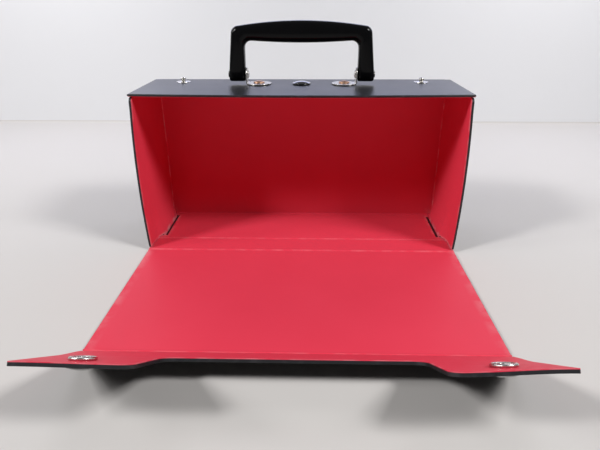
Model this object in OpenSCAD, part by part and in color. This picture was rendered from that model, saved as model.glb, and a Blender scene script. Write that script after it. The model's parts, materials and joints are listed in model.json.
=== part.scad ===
// Folding carrying case of black vinyl board lined in red, shown with its front flap laid open.
// Origin: middle of the underside. +X is the viewer's right, +Y goes to the back, +Z is up.

/* [Case] */
// Outer width across the sides
case_w = 260; // [220:1:320]
// Outer depth, from the face of the shut flap to the back
case_d = 82; // [72:1:110]
// Height from the underside to the upper face of the top
case_h = 132; // [110:1:170]
// How far the top stands out past each side
top_over = 0.5; // [0:0.1:2]
// How far the lining stays back from the top's front edge
hem_w = 1.5; // [0:0.1:4]
// How far a side panel swells outwards at its front edge
side_bow = 2; // [0:0.5:4]

/* [Sheet] */
// Thickness of the black vinyl board
shell_t = 1.8; // [1.2:0.1:2.4]
// Thickness of the red lining
lining_t = 0.5; // [0.3:0.1:0.8]
// Outer radius of a fixed fold
fold_r = 3.6; // [3.4:0.1:6]
// Width left bare of lining along a moving crease
crease_w = 4; // [4:0.5:8]
// Running gap along a moving crease
crease_gap = 0.3; // [0.2:0.05:0.5]
// Gap between the free edges of neighbouring panels
edge_gap = 0.5; // [0.3:0.1:1]

/* [Side panels] */
// How far a side panel's foot is drawn in to its floor slot
foot_tuck = 4.2; // [2:0.1:6]
// Height over which the foot is drawn in
tuck_h = 30; // [15:1:45]
// Length of wall over which the drawing in starts and ends
tuck_ramp = 9; // [6:0.5:12]
// Distance of the floor slot's front end behind the case's face
slot_front = 29; // [20:1:40]
// Distance of the floor slot's rear end before the back fold
slot_rear = 5; // [3:0.5:10]
// Width over which the lining is trimmed away beside the tongue
slot_gap = 2; // [1:0.1:3]
// Depth of the tongue's end above the underside
tongue_lift = 0.3; // [0.2:0.1:0.8]
// Height of a side panel's free lower edge over the floor
foot_lift = 1; // [0.3:0.1:2]
// Rounding of a side panel's upper front corner
side_corner_r = 4; // [2:0.5:6]
// Reach of the tab that a side turns in under the top
tab_w = 42; // [36:1:60]
// Length of that tab along the depth
tab_l = 42; // [30:1:50]
// Distance of that tab's rear end before the back fold
tab_rear = 2.4; // [2:0.1:6]

/* [Floor] */
// Distance of the second floor crease behind the case's face
floor_crease = 23; // [15:1:27]
// Width of that crease
floor_crease_w = 3; // [2:0.5:4]
// Depth of that crease in the lining
floor_crease_d = 0.25; // [0.1:0.05:0.28]

/* [Closing lip] */
// Angle at which the open lip stands up from the flap
lip_angle = 35.5; // [20:0.5:50]
// Length of the lip's ears from its crease
ear_l = 77; // [70:1:78]
// Length of the lip's middle strip from its crease
strip_l = 29; // [20:1:34]
// Width of the notch that clears the handle
notch_w = 144; // [136:1:170]
// Rounding of the ears' front corners beside the notch
ear_r = 6; // [2:0.5:12]
// Rounding of the ears' outer front corners
tip_r = 2.5; // [1:0.5:10]
// Rounding in the notch's inner corners
notch_r = 8; // [3:0.5:14]

/* [Press studs] */
// Distance of a press stud from the case's side
snap_side = 28.5; // [26:0.5:40]
// Distance of a press socket from the lip's crease
snap_reach = 61.6; // [50:0.2:66]
// Diameter of a black cap
cap_d = 15.2; // [13:0.1:17]
// Thickness of a cap's rim
cap_rim = 0.9; // [0.5:0.1:1.5]
// Height of a cap's dome over its rim
cap_crown = 1.7; // [1:0.1:2.4]
// Diameter of a press socket
socket_d = 13.6; // [12:0.1:15]
// Height of a press socket's rolled rim over the lining
socket_h = 1.9; // [1.6:0.1:2.4]
// Thickness of the plate inside that rim
socket_plate_t = 1.1; // [0.9:0.05:1.3]
// Inner radius of a press socket
socket_bore_r = 2.8; // [2.7:0.05:3.2]
// Wall of the cap's tube
cap_tube_wall = 0.6; // [0.4:0.1:0.8]
// How deep that tube reaches into the socket
cap_tube_in = 0.6; // [0.3:0.1:0.9]
// Radius of the wire of a press socket's spring
spring_wire_r = 0.3; // [0.2:0.05:0.35]
// Gap between that spring and a stud's neck
spring_gap = 0.3; // [0.2:0.05:0.5]
// Angle left open in that spring's ring
spring_open = 50; // [30:5:90]
// Diameter of a stud's base
stud_base_d = 12.3; // [11:0.1:14]
// Thickness of a stud's base at its rim
stud_rim_t = 0.4; // [0.3:0.1:0.6]
// Height of that base's crown over its rim
stud_crown = 0.4; // [0.2:0.1:0.6]
// Height of a stud over the top
stud_h = 4; // [3.6:0.1:4.4]
// Radius of a stud's neck
stud_neck_r = 1.9; // [1.8:0.05:2.1]
// Radius of a stud's knob
stud_knob_r = 2.3; // [2.1:0.05:2.5]
// Radius of that knob's round edge
stud_edge_r = 1.1; // [0.9:0.05:1.2]
// Gap between a stud's base and its socket when shut
snap_gap = 0.3; // [0.2:0.05:0.6]
// Diameter of the flange of an eyelet under the top
eyelet_d = 11; // [9:0.1:13]
// Thickness of that flange
eyelet_t = 0.6; // [0.4:0.1:1]
// Radius of an eyelet's post
eyelet_post_r = 1.3; // [1:0.05:1.5]
// How far an eyelet's post reaches into its stud
eyelet_in = 2.2; // [1:0.1:2.4]
// Clearance round posts and shanks in their holes
hole_gap = 0.05; // [0.02:0.01:0.1]

/* [Handle] */
// Distance of the handle behind the middle of the depth
handle_y = 11; // [6:0.5:14]
// Height of the grip's crown over the top
handle_h = 49.5; // [44:0.5:56]
// Width over the handle's feet
handle_w = 120; // [112:1:126]
// Width over the grip's ends
grip_w = 113.5; // [108:0.5:120]
// Width of the hand gap
hand_w = 92; // [84:1:96]
// Depth of the grip at its middle, seen from the front
grip_h = 17; // [14:0.5:18]
// Thickness of the grip at its middle, front to back
grip_t = 16; // [13:0.5:16]
// Thickness of the grip at its ends, front to back
grip_end_t = 14; // [12:0.5:15]
// How far the grip's upper edge falls towards its ends
crown_drop = 4; // [2:0.5:6]
// How far the grip's lower edge rises towards its ends
belly_rise = 1.5; // [0:0.25:3]
// Rounding of the grip's outer corners
corner_r = 5.5; // [4:0.5:8]
// Rounding of the hand gap's corners
hand_r = 5.5; // [4:0.5:8]
// Radius of a foot round its pivot
foot_r = 5.8; // [5:0.1:6.4]
// Height of the pivot over the top
pivot_h = 8; // [7.5:0.1:9]
// Squareness of the grip's section
grip_power = 3; // [2.4:0.1:4]
// Squareness of a foot's lower end, seen from the front
foot_power = 8; // [3:0.5:12]

/* [Handle fittings] */
// Diameter of a bracket's round plate
bracket_d = 20.5; // [18:0.5:22]
// Thickness of a bracket
bracket_t = 1; // [0.8:0.1:1.4]
// Width of a bracket's arm
arm_w = 11; // [9:0.5:12]
// Outer radius of a bracket's bend
bend_r = 2; // [1.6:0.1:3]
// Radius of a pivot pin
pin_r = 2; // [1.6:0.1:2.4]
// Running clearance round a pivot pin
pin_gap = 0.06; // [0.02:0.01:0.09]
// Gap between a foot and the fittings at its ends
foot_gap = 0.3; // [0.2:0.05:0.6]
// Radius of a pivot pin's heads
pin_head_r = 3.2; // [2.8:0.1:4]
// Thickness of those heads at their rims
pin_rim_t = 0.6; // [0.4:0.1:1]
// Height of those heads' crowns over their rims
pin_crown = 0.9; // [0.5:0.1:1.2]
// Diameter of a bracket rivet's head
rivet_d = 9; // [8:0.1:11]
// Thickness of that head at its rim
rivet_rim_t = 0.7; // [0.4:0.1:1]
// Height of that head's crown over its rim
rivet_crown = 1.1; // [0.7:0.1:1.5]
// Radius of a bracket rivet's shank
rivet_r = 2; // [1.6:0.1:2.4]
// Diameter of a washer under the top
washer_d = 11; // [10:0.1:13]
// Thickness of that washer
washer_t = 0.8; // [0.5:0.1:1.2]
// Radius of a clenched end
clench_r = 3.1; // [2.8:0.1:4]
// Height of a clenched end
clench_h = 1; // [0.6:0.1:1.4]

/* [Hidden] */
$fn = 64;
// Overshoot of every cut past the faces that it opens
cut = 1;
sheet_t = shell_t + lining_t;
front_y = -case_d / 2;
back_y = case_d / 2;
mouth_y = front_y + sheet_t + edge_gap;
fold_y = back_y - fold_r;
side_top = case_h - sheet_t - fold_r;
bow_top = side_top - fold_r;
free_top = case_h - sheet_t - edge_gap;

// Axis of the flap's crease, and of the lip's crease with the flap laid open
hinge_y = front_y + shell_t / 2;
hinge_z = shell_t / 2;
stud_base_t = stud_rim_t + stud_crown;
shut_lip_z = case_h + stud_base_t + snap_gap + socket_h + lining_t + shell_t / 2;
flap_l = shut_lip_z - hinge_z;
lip_y = hinge_y - flap_l;
crease_edge = shell_t / 2 + crease_gap;

// Floor slots and the tongues in them
slot_y0 = front_y + slot_front;
slot_y1 = fold_y - slot_rear;
tongue_x = case_w / 2 - foot_tuck;
tab_y1 = fold_y - tab_rear;
tab_y0 = tab_y1 - tab_l;

// Press studs, where the shut lip's sockets come down
snap_x = case_w / 2 - snap_side;
stud_y = hinge_y + snap_reach;
cap_tube_r = socket_bore_r + cap_tube_wall;
cap_r = cap_d / 2;
eyelet_z = case_h - 2 * sheet_t;

// Handle and its fittings
pivot_z = case_h + pivot_h;
arm_x = hand_w / 2 - foot_gap;
plate_x = arm_x - bracket_d / 2;
grip_top = handle_h - pivot_h;
grip_end_top = grip_top - crown_drop;
grip_under = grip_top - grip_h;
grip_end_under = grip_under + belly_rise;
crown_x = grip_w / 2 - corner_r;
belly_x = hand_w / 2 - hand_r;
under_top = case_h - sheet_t;
ring_sides = 24;

// Side panel's wall: rows along the depth and up the height, denser where the foot is drawn in
wall_y = concat(
    [mouth_y],
    [for (i = [0 : 4]) slot_y0 - tuck_ramp * (1 - i / 4)],
    [for (i = [0 : 4]) slot_y1 + (fold_y - slot_y1) * i / 4]);
wall_z = concat(
    [tongue_lift, sheet_t],
    [for (i = [1 : 6]) sheet_t + tuck_h * i / 6],
    [for (i = [1 : 6]) lerp(sheet_t + tuck_h, bow_top, i / 6)],
    [free_top]);

vinyl = "#26262B";
lining = "#C5202D";
nickel = "#C9C7C2";
brass = "#B98E62";
enamel = "#17171A";
moulded = "#0E0E12";

// Shape helpers
function ease(u) = let (v = max(0, min(1, u))) v * v * (3 - 2 * v);
function lerp(a, b, u) = a + (b - a) * u;
function signed_power(v, p) = sign(v) * pow(abs(v), p);

module left_of() {
    mirror([1, 0, 0]) children();
}

module x_extrude(w) {
    rotate([90, 0, 90]) translate([0, 0, -w / 2]) linear_extrude(w) children();
}

module y_extrude(y0, y1) {
    translate([0, y1, 0]) rotate([90, 0, 0]) linear_extrude(y1 - y0) children();
}

module along_x(x0, x1) {
    translate([x0, 0, 0]) rotate([0, 90, 0]) linear_extrude(x1 - x0) children();
}

module quarter_ring(r, t) {
    intersection() {
        difference() {
            circle(r);
            circle(r - t);
        }
        square(r);
    }
}

module drill(x, y, r) {
    translate([x, y, 0]) cylinder(r = r, h = 3 * case_h, center = true);
}

module dome(r, rim, crown) {
    ball_r = (r * r + crown * crown) / (2 * crown);
    rotate_extrude() {
        square([r, rim]);
        intersection() {
            translate([0, rim + crown - ball_r]) circle(ball_r, $fn = 4 * $fn);
            translate([0, rim]) square([r, crown]);
        }
    }
}

module ring(r_in, r_out, h) {
    difference() {
        cylinder(r = r_out, h = h);
        translate([0, 0, -h]) cylinder(r = r_in, h = 3 * h);
    }
}

// Case panels: d is a layer's depth below the outer face and t its thickness
module back_layer(d, t) {
    flat_x = case_w / 2 - fold_r;
    translate([-flat_x, back_y - d - t, fold_r]) cube([2 * flat_x, t, case_h - 2 * fold_r]);
    for (flip = [0, 1]) {
        mirror([flip, 0, 0]) translate([flat_x, fold_y, sheet_t + edge_gap])
            linear_extrude(free_top - sheet_t - edge_gap) quarter_ring(fold_r - d, t);
    }
}

module top_layer(d, t, hem) {
    nose_y = mouth_y + hem + t / 2;
    difference() {
        union() {
            x_extrude(case_w + 2 * top_over) {
                translate([nose_y, case_h - d - t]) square([fold_y - nose_y, t]);
                translate([nose_y, case_h - d - t / 2]) circle(t / 2);
            }
            x_extrude(case_w - 2 * fold_r) translate([fold_y, case_h - fold_r]) quarter_ring(fold_r - d, t);
        }
        for (side = [-1, 1]) {
            drill(side * snap_x, stud_y, eyelet_post_r + hole_gap);
            drill(side * plate_x, handle_y, rivet_r + hole_gap);
        }
        drill(0, handle_y, rivet_r + hole_gap);
    }
}

module floor_slots(gap) {
    inner_x = tongue_x - sheet_t - gap;
    for (flip = [0, 1]) {
        mirror([flip, 0, 0]) translate([inner_x, slot_y0 - edge_gap, -cut])
            cube([tongue_x + edge_gap - inner_x, slot_y1 - slot_y0 + 2 * edge_gap, sheet_t + 2 * cut]);
    }
}

module bottom_layer(d, t, edge, gap) {
    difference() {
        union() {
            x_extrude(case_w) translate([hinge_y + edge, d]) square([fold_y - hinge_y - edge, t]);
            x_extrude(case_w - 2 * fold_r)
                translate([fold_y, fold_r]) rotate(-90) quarter_ring(fold_r - d, t);
        }
        floor_slots(gap);
    }
}

// Outer face of the right side panel: swollen in front, its foot drawn in along the floor slot
function bow_at(y, z) =
    let (up = max(0, min(1, (z - sheet_t) / (bow_top - sheet_t))))
    side_bow * 4 * up * (1 - up) * (fold_y - y) / (fold_y - mouth_y);
function tuck_at(y, z) =
    let (low = max(0, min(1, 1 - (z - sheet_t) / tuck_h)))
    foot_tuck * low * low * ease(1 - (slot_y0 - y) / tuck_ramp) * ease((fold_y - y) / (fold_y - slot_y1));
function side_x(y, z) = case_w / 2 + bow_at(y, z) - tuck_at(y, z);

module side_wall(d, t) {
    rows = len(wall_y);
    levels = len(wall_z);
    count = rows * levels;
    points = [for (depth = [d, d + t]) for (y = wall_y) for (z = wall_z) [side_x(y, z) - depth, y, z]];
    quads = concat(
        [for (i = [0 : rows - 2]) for (k = [0 : levels - 2])
            let (a = i * levels + k) [a, a + 1, a + levels + 1, a + levels]],
        [for (i = [0 : rows - 2]) for (k = [0 : levels - 2])
            let (a = count + i * levels + k) [a, a + levels, a + levels + 1, a + 1]],
        [for (k = [0 : levels - 2]) [k + 1, k, count + k, count + k + 1]],
        [for (k = [0 : levels - 2])
            let (a = count - levels + k) [a, a + 1, count + a + 1, count + a]],
        [for (i = [0 : rows - 2]) let (a = i * levels) [a, a + levels, count + a + levels, count + a]],
        [for (i = [0 : rows - 2])
            let (a = i * levels + levels - 1) [a + levels, a, count + a, count + a + levels]]);
    triangles = [for (q = quads) each [[q[0], q[1], q[2]], [q[0], q[2], q[3]]]];
    polyhedron(points, triangles);
}

module side_layer(d, t) {
    foot_z = sheet_t + foot_lift;
    difference() {
        union() {
            difference() {
                side_wall(d, t);
                translate([0, tab_y0, side_top]) cube([case_w, tab_l, case_h]);
            }
            y_extrude(tab_y0, tab_y1) {
                translate([case_w / 2 - d - t, bow_top]) square([t, side_top - bow_top]);
                translate([case_w / 2 - fold_r, side_top]) quarter_ring(fold_r - d, t);
                translate([case_w / 2 - tab_w, under_top - d - t]) square([tab_w - fold_r, t]);
            }
        }
        // Free lower edges in front of the tongue and behind it
        for (span = [[mouth_y - cut, slot_y0], [slot_y1, fold_y + cut]]) {
            translate([case_w / 4, span[0], -cut]) cube([case_w / 2, span[1] - span[0], foot_z + cut]);
        }
        // Rounded upper front corner
        difference() {
            translate([case_w / 4, mouth_y - cut, free_top - side_corner_r])
                cube([case_w / 2, side_corner_r + cut, side_corner_r + cut]);
            translate([0, mouth_y + side_corner_r, free_top - side_corner_r])
                along_x(0, case_w) circle(side_corner_r);
        }
        drill(snap_x, stud_y, eyelet_post_r + hole_gap);
    }
}

module back_panel() {
    color(vinyl) back_layer(0, shell_t);
}

module back_lining() {
    color(lining) back_layer(shell_t, lining_t);
}

module top_panel() {
    color(vinyl) top_layer(0, shell_t, 0);
}

module top_lining() {
    color(lining) top_layer(shell_t, lining_t, hem_w);
}

module bottom_panel() {
    color(vinyl) bottom_layer(0, shell_t, crease_edge, edge_gap);
}

module bottom_lining() {
    color(lining) difference() {
        bottom_layer(shell_t, lining_t, crease_w / 2, slot_gap);
        translate([-case_w, front_y + floor_crease - floor_crease_w / 2, sheet_t - floor_crease_d])
            cube([2 * case_w, floor_crease_w, floor_crease_d + cut]);
    }
}

module side_panel() {
    color(vinyl) side_layer(0, shell_t);
}

module side_lining() {
    color(lining) side_layer(shell_t, lining_t);
}

// Front flap, laid open before the case
module front_flap() {
    color(vinyl) x_extrude(case_w) {
        translate([lip_y + crease_edge, 0]) square([flap_l - crease_edge, shell_t]);
        translate([hinge_y, hinge_z]) circle(shell_t / 2);
    }
}

module front_flap_lining() {
    color(lining) x_extrude(case_w)
        translate([lip_y + crease_w / 2, shell_t]) square([flap_l - crease_w, lining_t]);
}

// Closing lip, drawn flat from its crease towards -Y and then raised to its resting angle
module raised_lip() {
    translate([0, lip_y, hinge_z]) rotate([-lip_angle, 0, 0]) children();
}

module ear_outline(start) {
    ear_w = (case_w - notch_w) / 2;
    translate([notch_w / 2, -ear_l]) {
        translate([ear_r, 0]) square([ear_w - ear_r - tip_r, ear_l - start]);
        translate([0, ear_r]) square([ear_r, ear_l - ear_r - start]);
        translate([ear_w - tip_r, tip_r]) square([tip_r, ear_l - tip_r - start]);
        translate([ear_r, ear_r]) circle(ear_r);
        translate([ear_w - tip_r, tip_r]) circle(tip_r);
    }
    translate([notch_w / 2 - notch_r, -strip_l - notch_r]) difference() {
        square(notch_r);
        circle(notch_r);
    }
}

module lip_outline(start) {
    difference() {
        union() {
            translate([-case_w / 2, -strip_l]) square([case_w, strip_l - start]);
            ear_outline(start);
            left_of() ear_outline(start);
        }
        for (side = [-1, 1]) {
            translate([side * snap_x, -snap_reach]) circle(cap_tube_r + hole_gap);
        }
    }
}

module closing_lip() {
    color(vinyl) raised_lip() {
        translate([0, 0, -shell_t / 2]) linear_extrude(shell_t) lip_outline(0);
        x_extrude(case_w) circle(shell_t / 2);
    }
}

module closing_lip_lining() {
    color(lining) raised_lip()
        translate([0, 0, shell_t / 2]) linear_extrude(lining_t) lip_outline(crease_w / 2);
}

// Press fasteners
module on_ear(z) {
    raised_lip() translate([snap_x, -snap_reach, z]) children();
}

module snap_socket() {
    bead_r = socket_h / 2;
    bead_x = socket_d / 2 - bead_r;
    collar_r = cap_tube_r + hole_gap;
    color(nickel) on_ear(shell_t / 2 + lining_t) rotate_extrude() {
        translate([bead_x, bead_r]) circle(bead_r);
        translate([collar_r, 0]) square([bead_x - collar_r, socket_plate_t]);
        translate([socket_bore_r, cap_tube_in])
            square([bead_x - socket_bore_r, socket_plate_t - cap_tube_in]);
    }
}

// Split ring of wire on the socket's plate, which grips a stud's neck
module socket_spring() {
    color(nickel) on_ear(shell_t / 2 + lining_t + socket_plate_t + spring_wire_r)
        rotate([0, 0, spring_open / 2]) rotate_extrude(angle = 360 - spring_open)
            translate([stud_neck_r + spring_gap + spring_wire_r, 0]) circle(spring_wire_r);
}

module snap_cap() {
    color(enamel) on_ear(-shell_t / 2) {
        mirror([0, 0, 1]) dome(cap_r, cap_rim, cap_crown);
        ring(socket_bore_r, cap_tube_r, sheet_t + cap_tube_in);
    }
}

module snap_stud() {
    knob_z = stud_h - stud_edge_r;
    knob_in = stud_knob_r - stud_edge_r;
    color(nickel) translate([snap_x, stud_y, case_h]) difference() {
        union() {
            dome(stud_base_d / 2, stud_rim_t, stud_crown);
            cylinder(r = stud_neck_r, h = knob_z);
            rotate_extrude() {
                translate([0, knob_z - stud_edge_r]) square([knob_in, 2 * stud_edge_r]);
                translate([knob_in, knob_z]) circle(stud_edge_r);
            }
        }
        translate([0, 0, -cut]) cylinder(r = eyelet_post_r + hole_gap, h = eyelet_in + hole_gap + cut);
    }
}

module stud_eyelet() {
    color(nickel) translate([snap_x, stud_y, eyelet_z]) {
        translate([0, 0, -eyelet_t]) cylinder(d = eyelet_d, h = eyelet_t);
        cylinder(r = eyelet_post_r, h = 2 * sheet_t + eyelet_in);
    }
}

// Headed fastener through the top: a shank with its clenched end under a washer
module shank_through_top() {
    end_z = under_top - washer_t;
    translate([0, 0, end_z]) cylinder(r = rivet_r, h = case_h - end_z);
    translate([0, 0, end_z - clench_h]) cylinder(r = clench_r, h = clench_h);
}

module washer_under_top() {
    translate([0, 0, under_top - washer_t]) ring(rivet_r + hole_gap, washer_d / 2, washer_t);
}

module centre_cap() {
    color(enamel) translate([0, handle_y, 0]) {
        translate([0, 0, case_h]) dome(cap_r, cap_rim, cap_crown);
        shank_through_top();
    }
}

module centre_cap_washer() {
    color(nickel) translate([0, handle_y, 0]) washer_under_top();
}

// Handle fittings
module handle_bracket() {
    color(nickel) translate([0, handle_y, case_h]) difference() {
        union() {
            intersection() {
                translate([plate_x, 0, 0]) cylinder(d = bracket_d, h = bracket_t);
                translate([0, -bracket_d, -cut]) cube([arm_x - bend_r, 2 * bracket_d, bracket_t + 2 * cut]);
            }
            y_extrude(-arm_w / 2, arm_w / 2) {
                translate([arm_x - bend_r, bend_r]) rotate(-90) quarter_ring(bend_r, bracket_t);
                translate([arm_x - bracket_t, bend_r]) square([bracket_t, pivot_h - bend_r]);
                translate([plate_x, 0]) square([bracket_d / 2 - bend_r, bracket_t]);
            }
            translate([0, 0, pivot_h]) along_x(arm_x - bracket_t, arm_x) circle(arm_w / 2);
        }
        translate([0, 0, pivot_h]) along_x(0, case_w / 2) circle(pin_r + hole_gap);
        translate([plate_x, 0, -cut]) cylinder(r = rivet_r + hole_gap, h = bracket_t + 2 * cut);
    }
}

module bracket_rivet() {
    color(brass) translate([plate_x, handle_y, 0]) {
        translate([0, 0, case_h + bracket_t]) dome(rivet_d / 2, rivet_rim_t, rivet_crown);
        translate([0, 0, case_h]) cylinder(r = rivet_r, h = bracket_t);
        shank_through_top();
    }
}

module rivet_washer() {
    color(nickel) translate([plate_x, handle_y, 0]) washer_under_top();
}

module pivot_pin() {
    inner_x = arm_x - bracket_t;
    outer_x = handle_w / 2 + foot_gap;
    color(nickel) translate([0, handle_y, pivot_z]) {
        along_x(inner_x, outer_x) circle(pin_r);
        translate([inner_x, 0, 0]) rotate([0, -90, 0]) dome(pin_head_r, pin_rim_t, pin_crown);
        translate([outer_x, 0, 0]) rotate([0, 90, 0]) dome(pin_head_r, pin_rim_t, pin_crown);
    }
}

// Handle: sections from the left foot over the grip, each as [outer point, inner point, half thickness]
function foot_section(a) =
    let (mid = (handle_w + hand_w) / 4,
        half = (handle_w - hand_w) / 4 * pow(1 - pow(sin(a), foot_power), 1 / foot_power))
    [[-mid - half, -foot_r * sin(a)], [-mid + half, -foot_r * sin(a)], foot_r * cos(a)];
function leg_section(u) = [
    [-lerp(handle_w, grip_w, u) / 2, u * (grip_end_top - corner_r)],
    [-hand_w / 2, u * (grip_end_under - hand_r)],
    lerp(foot_r, grip_end_t / 2, u)];
function corner_section(a) = [
    [-crown_x - corner_r * cos(a), grip_end_top - corner_r + corner_r * sin(a)],
    [-belly_x - hand_r * cos(a), grip_end_under - hand_r + hand_r * sin(a)],
    grip_end_t / 2];
function grip_section(u) = [
    [u * crown_x, grip_top - crown_drop * u * u],
    [u * belly_x, grip_under + belly_rise * u * u],
    lerp(grip_t, grip_end_t, u * u) / 2];
function mirrored(s) = [[-s[0][0], s[0][1]], [-s[1][0], s[1][1]], s[2]];
half_sections = concat(
    [for (a = [82, 68, 52, 36, 18, 0]) foot_section(a)],
    [for (i = [1 : 4]) leg_section(i / 4)],
    [for (a = [15 : 15 : 90]) corner_section(a)],
    [for (i = [1 : 7]) grip_section(i / 8 - 1)]);
sections = concat(
    half_sections,
    [grip_section(0)],
    [for (i = [len(half_sections) - 1 : -1 : 0]) mirrored(half_sections[i])]);

function section_ring(s) = [for (k = [0 : ring_sides - 1])
    let (a = 360 * k / ring_sides,
        u = signed_power(cos(a), 2 / grip_power),
        v = signed_power(sin(a), 2 / grip_power),
        p = (s[0] + s[1]) / 2 + u * (s[0] - s[1]) / 2)
    [p[0], v * s[2], p[1]]];

module handle_body() {
    last = len(sections) - 1;
    points = [for (s = sections) each section_ring(s)];
    walls = [for (i = [0 : last - 1]) for (k = [0 : ring_sides - 1])
        let (n = (k + 1) % ring_sides,
            a = i * ring_sides + k, b = i * ring_sides + n,
            c = b + ring_sides, d = a + ring_sides)
        each [[a, d, c], [a, c, b]]];
    ends = [
        [for (k = [0 : ring_sides - 1]) k],
        [for (k = [ring_sides - 1 : -1 : 0]) last * ring_sides + k]];
    polyhedron(points, concat(walls, ends));
}

module handle() {
    color(moulded) translate([0, handle_y, pivot_z]) difference() {
        handle_body();
        along_x(-handle_w, handle_w) circle(pin_r + pin_gap);
    }
}

back_panel();
back_lining();
top_panel();
top_lining();
bottom_panel();
bottom_lining();
left_of() side_panel();  // left_side_panel
left_of() side_lining();  // left_side_lining
side_panel();  // right_side_panel
side_lining();  // right_side_lining
front_flap();
front_flap_lining();
closing_lip();
closing_lip_lining();
left_of() snap_socket();  // left_snap_socket
snap_socket();  // right_snap_socket
left_of() socket_spring();  // left_socket_spring
socket_spring();  // right_socket_spring
left_of() snap_cap();  // left_snap_cap
snap_cap();  // right_snap_cap
left_of() snap_stud();  // left_snap_stud
snap_stud();  // right_snap_stud
left_of() stud_eyelet();  // left_stud_eyelet
stud_eyelet();  // right_stud_eyelet
centre_cap();
centre_cap_washer();
left_of() handle_bracket();  // left_handle_bracket
handle_bracket();  // right_handle_bracket
left_of() bracket_rivet();  // left_bracket_rivet
bracket_rivet();  // right_bracket_rivet
left_of() rivet_washer();  // left_rivet_washer
rivet_washer();  // right_rivet_washer
left_of() pivot_pin();  // left_pivot_pin
pivot_pin();  // right_pivot_pin
handle();
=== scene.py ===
import json
import math

import bmesh
import bpy
from mathutils import Matrix, Vector
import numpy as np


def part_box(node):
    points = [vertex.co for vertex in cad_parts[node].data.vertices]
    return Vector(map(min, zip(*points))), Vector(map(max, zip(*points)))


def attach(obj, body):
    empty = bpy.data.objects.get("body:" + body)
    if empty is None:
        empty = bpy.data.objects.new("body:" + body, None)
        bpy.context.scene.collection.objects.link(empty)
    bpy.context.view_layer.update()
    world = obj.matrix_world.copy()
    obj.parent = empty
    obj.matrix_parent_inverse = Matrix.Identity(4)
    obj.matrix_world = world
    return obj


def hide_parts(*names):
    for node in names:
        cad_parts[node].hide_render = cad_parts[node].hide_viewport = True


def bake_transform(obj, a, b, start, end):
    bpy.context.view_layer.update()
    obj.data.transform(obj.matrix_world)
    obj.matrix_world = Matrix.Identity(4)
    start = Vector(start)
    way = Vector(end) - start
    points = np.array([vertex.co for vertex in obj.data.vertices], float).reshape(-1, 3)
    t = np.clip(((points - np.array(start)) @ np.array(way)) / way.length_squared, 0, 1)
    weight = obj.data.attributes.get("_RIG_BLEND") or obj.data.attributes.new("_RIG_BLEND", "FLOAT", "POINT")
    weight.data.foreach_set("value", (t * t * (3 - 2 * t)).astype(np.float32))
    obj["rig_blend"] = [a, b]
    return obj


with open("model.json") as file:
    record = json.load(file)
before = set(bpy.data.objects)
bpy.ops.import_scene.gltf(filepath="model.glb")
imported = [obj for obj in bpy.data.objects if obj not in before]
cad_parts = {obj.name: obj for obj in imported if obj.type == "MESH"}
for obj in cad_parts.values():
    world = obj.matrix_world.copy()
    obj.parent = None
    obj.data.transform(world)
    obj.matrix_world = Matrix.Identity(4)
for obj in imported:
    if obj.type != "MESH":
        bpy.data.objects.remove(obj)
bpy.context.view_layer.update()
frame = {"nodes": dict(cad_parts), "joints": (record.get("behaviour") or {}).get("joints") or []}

mm = 0.001
scene = bpy.context.scene

# Sizes that the pieces share, read off the frame
joints = {joint["name"]: joint for joint in frame["joints"]}
hinge = Vector(joints["flap_hinge"]["pos_m"])
lipAxis = Vector(joints["lip_fold"]["pos_m"])
pivot = Vector(joints["handle_pivot"]["pos_m"])
lipAngle = math.radians(-joints["lip_fold"]["range_deg"][0])
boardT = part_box("front_flap")[1].z
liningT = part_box("front_flap_lining")[1].z - boardT
sheetT = boardT + liningT
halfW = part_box("bottom_panel")[1].x
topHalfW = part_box("top_panel")[1].x
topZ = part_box("top_panel")[1].z
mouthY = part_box("top_panel")[0].y
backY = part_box("back_panel")[1].y
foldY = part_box("back_panel")[0].y
foldR = backY - foldY
foldX = halfW - foldR
foldArc = foldR * math.pi / 2
creaseHalf = hinge.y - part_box("front_flap_lining")[1].y
flapEnd = hinge.y - creaseHalf
layers = {"board": ("black_vinyl", 0, boardT), "red": ("red_lining", boardT, liningT)}
hair = 0.01 * mm  # two places this close are one
onLine = 0.1 * mm  # a place this close to a line is on it
crispTurn = 0.8  # radians between two faces, past which their edge stays crisp
rimTurn = 1  # radians between two faces, past which their edge is a rim
withEdge = 1.001  # a whole radius, with what lies on its very edge
crowd = 0.3  # share of a step: an even place nearer than this to a fixed one is left out
broadFirst = 80  # how far the broad faces of a piece lead its shading
foldSteps = 6  # cells round a fold


# Finishes

def linear(hexColour):
    channels = [int(hexColour[i:i + 2], 16) / 255 for i in (1, 3, 5)]
    return [c / 12.92 if c <= 0.04045 else ((c + 0.055) / 1.055) ** 2.4 for c in channels] + [1]


def addNode(tree, kind, values={}, links={}, **settings):
    made = tree.nodes.new("ShaderNode" + kind)
    for name, value in settings.items():
        setattr(made, name, value)
    for name, value in values.items():
        made.inputs[name].default_value = value
    for name, source in links.items():
        tree.links.new(source, made.inputs[name])
    return made


def startFinish(name, values):
    finish = bpy.data.materials.new(name)
    finish.use_nodes = True
    tree = finish.node_tree
    shader = tree.nodes["Principled BSDF"]
    for socket, value in values.items():
        shader.inputs[socket].default_value = value
    return finish, tree, shader, addNode(tree, "TexCoord").outputs["Object"]


def linkFinish(tree, shader, colour, rough, bump=None):
    tree.links.new(colour.outputs["Result"], shader.inputs["Base Color"])
    tree.links.new(rough.outputs["Result"], shader.inputs["Roughness"])
    if bump:
        tree.links.new(bump.outputs["Normal"], shader.inputs["Normal"])


def perMetre(sizeMm):
    return 1 / (sizeMm * mm)


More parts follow.
